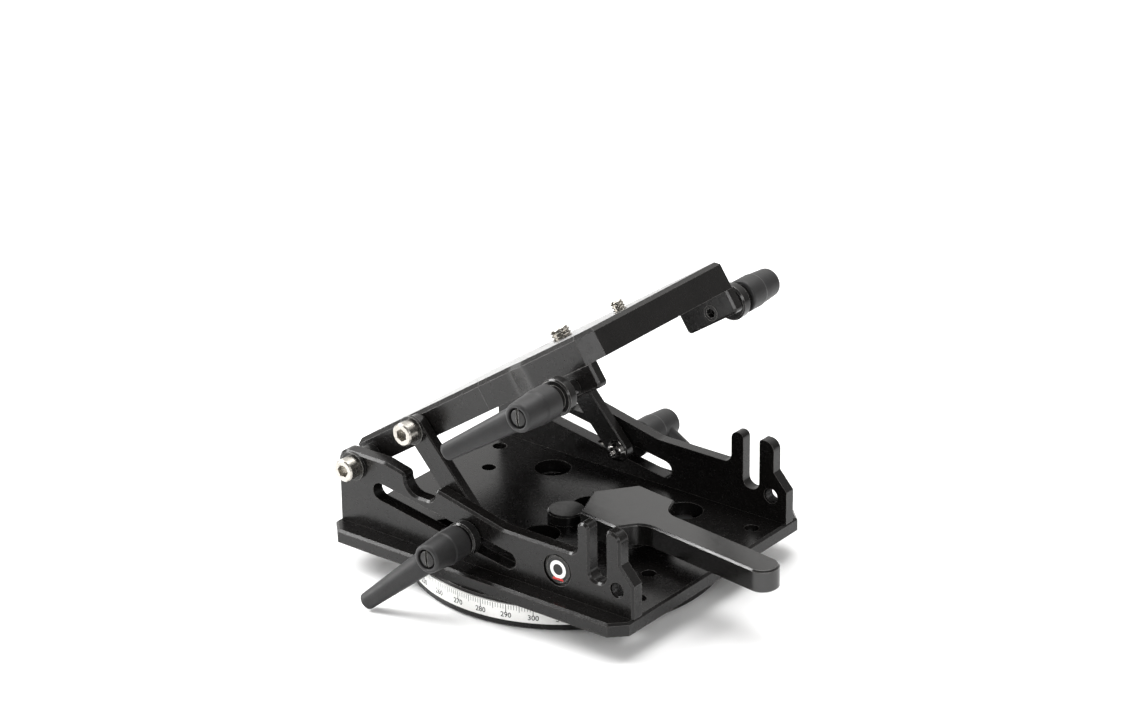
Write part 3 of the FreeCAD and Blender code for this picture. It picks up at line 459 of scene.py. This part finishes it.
# ---------------------------------------------------------------- badge
def badge_face():
    """A plain turned face with a raised rim, a painted ring and a painted bar."""
    low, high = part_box("badge")
    centre, radius = (low + high) / 2, (high.x - low.x) / 2
    depth = high.y - low.y
    turn = Matrix(((1, 0, 0), (0, 0, -1), (0, 1, 0))).to_4x4()
    place = Matrix.Translation(centre) @ turn
    floor = depth * 0.36
    rows = ring_rows([
        (-depth / 2, radius), (depth * 0.46, radius), (depth / 2, radius - 0.15 * MM),
        (depth / 2, radius - 0.5 * MM), (floor, radius - 0.7 * MM), (floor, 0.02 * radius)])
    vertices, faces = revolve(rows, 96)
    face = new_piece("badge_turned", vertices, faces, black_steel, "table", smooth=False)
    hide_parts("badge")
    band = ring_rows([(floor + 0.02 * MM, 0.66 * radius), (floor + 0.06 * MM, 0.64 * radius),
                      (floor + 0.06 * MM, 0.42 * radius), (floor + 0.02 * MM, 0.40 * radius)])
    vertices, faces = revolve(band, 72, close_low=False, close_high=False)
    ring = new_piece("badge_ring", vertices, faces, scale_white, "table", smooth=False)
    across, drop, tall, lift = 0.46 * radius, -0.78 * radius, 0.16 * radius, floor + 0.07 * MM
    corners = [(-across, drop), (across, drop), (across * 0.9, drop + tall), (-across * 0.9, drop + tall)]
    vertices = [Vector((x, y, z)) for z in (floor, lift) for x, y in corners]
    faces = [(4, 5, 6, 7), (0, 1, 5, 4), (1, 2, 6, 5), (2, 3, 7, 6), (3, 0, 4, 7)]
    bar = new_piece("badge_bar", vertices, faces, print_red, "table", smooth=False)
    for piece in (face, ring, bar):
        piece.data.transform(place)


badge_face()


# ---------------------------------------------------------------- moulded handles
def blend_handle(node, grain=0.28 * MM):
    """Soften the corner between a handle's hub and arm, as a mould would."""
    remesh = node.modifiers.new("moulding", "REMESH")
    remesh.mode = "VOXEL"
    remesh.voxel_size = grain
    remesh.use_smooth_shade = True
    soften = node.modifiers.new("blend", "SMOOTH")
    soften.factor = 0.5
    soften.iterations = 5


for name, node in frame["nodes"].items():
    if name.endswith("_handle"):
        blend_handle(node)


# ---------------------------------------------------------------- floor, light and camera
FLOOR_HALF = 3.0
LAMP_TARGET = Vector((0, 0, 0.04))


def stage_floor():
    """A wide pale floor under the base."""
    vertices = [(-FLOOR_HALF, -FLOOR_HALF, 0), (FLOOR_HALF, -FLOOR_HALF, 0), (FLOOR_HALF, FLOOR_HALF, 0),
                (-FLOOR_HALF, FLOOR_HALF, 0)]
    mesh = bpy.data.meshes.new("floor")
    mesh.from_pydata([Vector(v) + Vector((0, 0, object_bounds()[0][2])) for v in vertices], [], [(0, 1, 2, 3)])
    floor = bpy.data.objects.new("floor", mesh)
    bpy.context.collection.objects.link(floor)
    made = Nodes("pale_floor")
    tone = made.noise(60, 2)
    made.link(made.mix(tone, (0.90, 0.90, 0.90), (0.93, 0.93, 0.93)), made.shader.inputs["Base Color"])
    made.shader.inputs["Roughness"].default_value = 0.8
    mesh.materials.append(made.material)


def lamp(name, place, power, width, depth=None):
    """An area lamp that faces the object's middle."""
    light = bpy.data.lights.new(name, "AREA")
    light.shape = "RECTANGLE"
    light.energy = power
    light.size = width
    light.size_y = depth or width
    holder = bpy.data.objects.new(name, light)
    bpy.context.collection.objects.link(holder)
    holder.location = place
    holder.rotation_euler = (LAMP_TARGET - Vector(place)).to_track_quat("-Z", "Y").to_euler()


BEHIND = Vector((-0.58, 0.74, 0.35)).normalized()
ROOM_LEVEL, BACKDROP_LEVEL = 0.34, 1.15


def studio_world():
    """A soft grey room with a bright backdrop behind the object."""
    world = bpy.data.worlds.new("studio")
    world.use_nodes = True
    tree = world.node_tree
    where = tree.nodes.new("ShaderNodeTexCoord")
    facing = tree.nodes.new("ShaderNodeVectorMath")
    facing.operation = "DOT_PRODUCT"
    facing.inputs[1].default_value = BEHIND
    tree.links.new(where.outputs["Generated"], facing.inputs[0])
    level = tree.nodes.new("ShaderNodeMapRange")
    level.interpolation_type = "SMOOTHSTEP"
    for socket, number in zip(("From Min", "From Max", "To Min", "To Max"),
                              (0.2, 0.95, ROOM_LEVEL, BACKDROP_LEVEL)):
        level.inputs[socket].default_value = number
    tree.links.new(facing.outputs["Value"], level.inputs["Value"])
    background = tree.nodes["Background"]
    background.inputs["Color"].default_value = (1.0, 0.99, 0.975, 1.0)
    tree.links.new(level.outputs["Result"], background.inputs["Strength"])
    bpy.context.scene.world = world


stage_floor()
studio_world()
lamp("top", (-0.10, 0.25, 1.2), 17.0, 1.0)
lamp("key", (-0.70, -0.30, 0.65), 9.0, 0.40)
lamp("left", (-0.52, -0.42, 0.10), 2.2, 0.30, 0.16)
lamp("front", (0.8, -0.6, 0.5), 4.2, 0.4)

AZIMUTH, ELEVATION, ROLL = math.radians(38.242), math.radians(23.974), math.radians(-0.779)
DISTANCE, SIDE_SHIFT, UP_SHIFT = 1613.949 * MM, -1.735 * MM, 69.106 * MM
LENS, SENSOR = 120.17, 36.0


def add_camera():
    """The camera looks down on the deck's middle, with a slight roll."""
    deck_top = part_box("base_plate")[1].z
    right = Vector((math.cos(AZIMUTH), math.sin(AZIMUTH), 0))
    back = Vector((math.sin(AZIMUTH) * math.cos(ELEVATION), -math.cos(AZIMUTH) * math.cos(ELEVATION),
                   math.sin(ELEVATION)))
    up = back.cross(right)
    across = right * math.cos(ROLL) + up * math.sin(ROLL)
    upright = up * math.cos(ROLL) - right * math.sin(ROLL)
    place = back * DISTANCE + across * SIDE_SHIFT + upright * UP_SHIFT + Vector((0, 0, deck_top))
    data = bpy.data.cameras.new("camera")
    data.lens = LENS
    data.sensor_width = SENSOR
    data.clip_start = 0.05
    camera = bpy.data.objects.new("camera", data)
    bpy.context.collection.objects.link(camera)
    turn = Matrix((across, upright, back)).transposed().to_4x4()
    camera.matrix_world = Matrix.Translation(place) @ turn
    bpy.context.scene.camera = camera


add_camera()
bpy.context.scene.view_settings.view_transform = "Standard"
